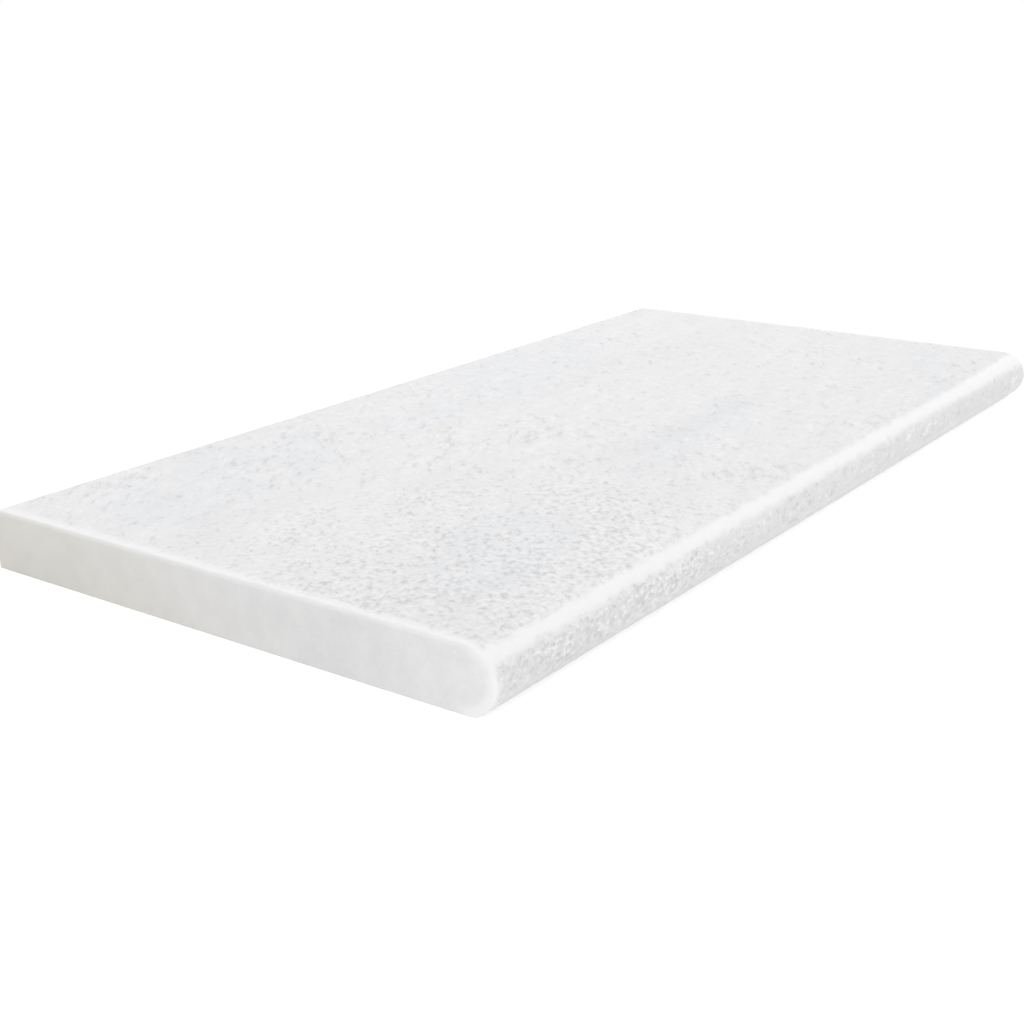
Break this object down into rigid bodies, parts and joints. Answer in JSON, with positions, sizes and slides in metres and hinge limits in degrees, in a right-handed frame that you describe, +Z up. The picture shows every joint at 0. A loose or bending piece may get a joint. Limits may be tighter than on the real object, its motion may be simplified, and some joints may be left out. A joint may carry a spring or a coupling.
{
  "type": "pool coping stone",
  "caption": "Flat rectangular coping stone of pale blasted marble with a full bullnose along a long edge, for capping a pool wall.",
  "frame": {"origin": "middle of the underside, at the centre of the stone's length and depth", "axes": "+X along the bullnosed edge, -Y out of the nose towards the pool, +Z up out of the walked surface"},
  "size_m": [0.6, 0.3, 0.03],
  "materials": {
    "white_marble": "sandblasted top and nose, sawn ends"
  },
  "bodies": {
    "root": {"coping_stone": "white_marble"}
  },
  "joints": []
}
